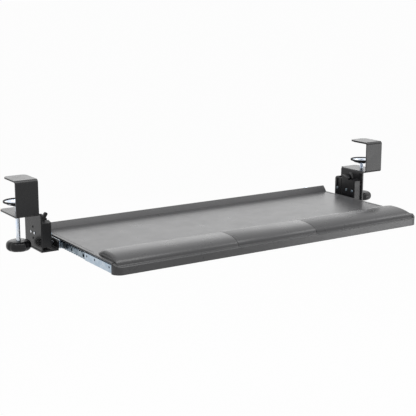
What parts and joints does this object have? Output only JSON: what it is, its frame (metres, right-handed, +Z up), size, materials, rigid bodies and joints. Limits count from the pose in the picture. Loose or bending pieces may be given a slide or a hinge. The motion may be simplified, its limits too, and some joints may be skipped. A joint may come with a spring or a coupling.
{
  "type": "clamp-on sliding keyboard tray",
  "caption": "Flat keyboard tray with a raised palm rest, carried on ball slides below two desk clamps whose screws grip a desk edge and whose locks set its height.",
  "frame": {"origin": "front edge of the desk at the height of the desk's top face, midway between the clamps", "axes": "+X to the right along the desk edge, +Y into the desk, +Z up"},
  "size_m": [0.8882, 0.369, 0.1409],
  "materials": {
    "tray_plastic": "dark grey satin",
    "palm_plastic": "dark grey satin, fine grain",
    "black_steel": "black powder coat",
    "clamp_steel": "black satin powder coat",
    "zinc_steel": "bright blue zinc plate",
    "cage_steel": "zinc plated, pressed",
    "ball_steel": "polished",
    "zinc_fasteners": "zinc plate",
    "black_fasteners": "black oxide",
    "black_moulding": "black, fine grain",
    "knob_plastic": "black satin",
    "chrome": "bright chrome plate",
    "rubber": "matt black rubber"
  },
  "bodies": {
    "desk_clamps": {"clamp_bracket_left": "clamp_steel", "clamp_bracket_right": "clamp_steel", "jaw_pad_left": "rubber", "jaw_pad_right": "rubber", "clamp_nut_left": "zinc_fasteners", "clamp_nut_right": "zinc_fasteners", "lock_housing_left": "black_moulding", "lock_housing_right": "black_moulding", "housing_bolts": "black_fasteners", "housing_rivets": "zinc_fasteners", "housing_screws": "zinc_fasteners", "guide_stop_screws": "zinc_fasteners", "lever_pins": "zinc_fasteners", "lever_springs": "ball_steel"},
    "left_pad": {"pressure_pad_left": "chrome", "pad_ring_left": "rubber"},
    "right_pad": {"pressure_pad_right": "chrome", "pad_ring_right": "rubber"},
    "left_screw": {"clamp_screw_left": "chrome", "clamp_knob_left": "knob_plastic"},
    "right_screw": {"clamp_screw_right": "chrome", "clamp_knob_right": "knob_plastic"},
    "left_lever": {"lock_lever_left": "black_moulding"},
    "right_lever": {"lock_lever_right": "black_moulding"},
    "lift_carriage": {"slide_bracket_left": "black_steel", "slide_bracket_right": "black_steel", "guide_post_left": "black_moulding", "guide_post_right": "black_moulding", "brake_bar_left": "zinc_steel", "brake_bar_right": "zinc_steel", "outer_slide_left": "zinc_steel", "outer_slide_right": "zinc_steel", "outer_slide_rivets": "zinc_fasteners", "bracket_screws": "zinc_fasteners"},
    "left_cage": {"ball_cage_left": "cage_steel", "slide_balls_left": "ball_steel"},
    "right_cage": {"ball_cage_right": "cage_steel", "slide_balls_right": "ball_steel"},
    "tray": {"tray_panel": "tray_plastic", "front_rail": "tray_plastic", "rear_stop_strip": "tray_plastic", "palm_rest_left": "palm_plastic", "palm_rest_middle": "palm_plastic", "palm_rest_right": "palm_plastic", "side_rail_left": "black_steel", "side_rail_right": "black_steel", "cross_brace_front": "black_steel", "cross_brace_rear": "black_steel", "frame_screws": "zinc_fasteners", "palm_rest_screws": "zinc_fasteners", "rear_strip_screws": "zinc_fasteners", "inner_slide_left": "zinc_steel", "inner_slide_right": "zinc_steel", "inner_slide_screws": "black_fasteners"}
  },
  "joints": [
    {"name": "left_pad_travel", "type": "slide", "parent": "desk_clamps", "child": "left_pad", "axis": [0, 0, 1], "range_m": [-0.01, 0.03]},
    {"name": "left_screw_turn", "type": "hinge", "parent": "left_pad", "child": "left_screw", "pos_m": [-0.4185, 0.04, -0.124], "axis": [0, 0, 1], "range_deg": [-2890, 8650]},
    {"name": "left_lever_turn", "type": "hinge", "parent": "desk_clamps", "child": "left_lever", "pos_m": [-0.3795, 0.0222, -0.0825], "axis": [0, -1, 0], "range_deg": [0, 26], "stiffness_Nm_per_rad": 0.02, "springref_deg": -17.19},
    {"name": "right_pad_travel", "type": "slide", "parent": "desk_clamps", "child": "right_pad", "axis": [0, 0, 1], "range_m": [-0.01, 0.03]},
    {"name": "right_screw_turn", "type": "hinge", "parent": "right_pad", "child": "right_screw", "pos_m": [0.4185, 0.04, -0.124], "axis": [0, 0, 1], "range_deg": [-2890, 8650]},
    {"name": "right_lever_turn", "type": "hinge", "parent": "desk_clamps", "child": "right_lever", "pos_m": [0.3795, 0.0222, -0.0825], "axis": [0, 1, 0], "range_deg": [0, 26], "stiffness_Nm_per_rad": 0.02, "springref_deg": -17.19},
    {"name": "height_slide", "type": "slide", "parent": "desk_clamps", "child": "lift_carriage", "axis": [0, 0, 1], "range_m": [-0.02, 0]},
    {"name": "tray_slide", "type": "slide", "parent": "lift_carriage", "child": "tray", "axis": [0, 1, 0], "range_m": [0, 0.2]},
    {"name": "left_cage_roll", "type": "slide", "parent": "lift_carriage", "child": "left_cage", "axis": [0, 1, 0], "range_m": [0, 0.1001]},
    {"name": "right_cage_roll", "type": "slide", "parent": "lift_carriage", "child": "right_cage", "axis": [0, 1, 0], "range_m": [0, 0.1001]}
  ],
  "couplings": [
    {"joint": "left_screw_turn", "follows": "left_pad_travel", "rad_per_m": 5026.5},
    {"joint": "right_screw_turn", "follows": "right_pad_travel", "rad_per_m": 5026.5},
    {"joint": "left_cage_roll", "follows": "tray_slide", "ratio": 0.5},
    {"joint": "right_cage_roll", "follows": "tray_slide", "ratio": 0.5}
  ]
}
